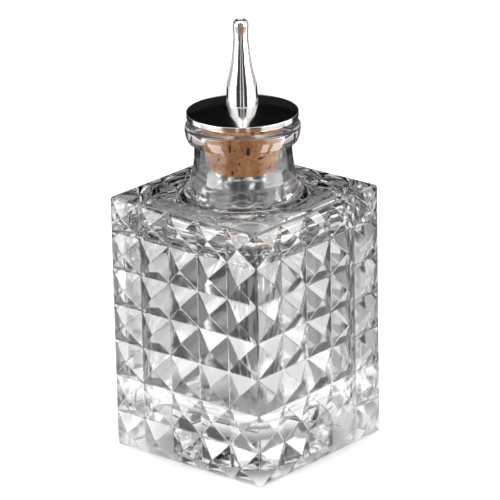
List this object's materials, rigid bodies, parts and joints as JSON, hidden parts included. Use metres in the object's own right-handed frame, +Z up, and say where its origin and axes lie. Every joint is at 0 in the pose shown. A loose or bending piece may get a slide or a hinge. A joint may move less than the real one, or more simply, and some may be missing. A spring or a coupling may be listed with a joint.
{
  "type": "bitters bottle",
  "caption": "Square pressed-glass bitters bottle with raised pyramids, a tapered cork and a domed metal dasher head with a narrow pouring spout.",
  "frame": {"origin": "on the table at the middle of the square base", "axes": "+Z up along the bottle's axis through the neck and the spout; X and Y square to the four faceted sides"},
  "size_m": [0.0536, 0.0536, 0.1172],
  "materials": {
    "bottle_glass": "clear pressed glass, fire polished",
    "natural_cork": "natural cork with dark pores",
    "stem_steel": "plain turned stainless steel",
    "polished_steel": "mirror polished stainless steel"
  },
  "bodies": {
    "bottle": {"glass_bottle": "bottle_glass"},
    "stopper": {"cork_stopper": "natural_cork", "stem_tube": "stem_steel"},
    "cap": {"cap_disc": "polished_steel"},
    "spout": {"dasher_spout": "polished_steel"}
  },
  "joints": [
    {"name": "stopper_pull", "type": "slide", "parent": "bottle", "child": "stopper", "axis": [0, 0, 1], "range_m": [0, 0.03]},
    {"name": "head_lift", "type": "slide", "parent": "stopper", "child": "cap", "axis": [0, 0, 1], "range_m": [0, 0.008]},
    {"name": "head_turn", "type": "hinge", "parent": "cap", "child": "spout", "pos_m": [0, 0, 0.0944], "axis": [0, 0, 1], "range_deg": [0, 2880]}
  ],
  "couplings": [
    {"joint": "head_turn", "follows": "head_lift", "rad_per_m": 6283.2}
  ]
}
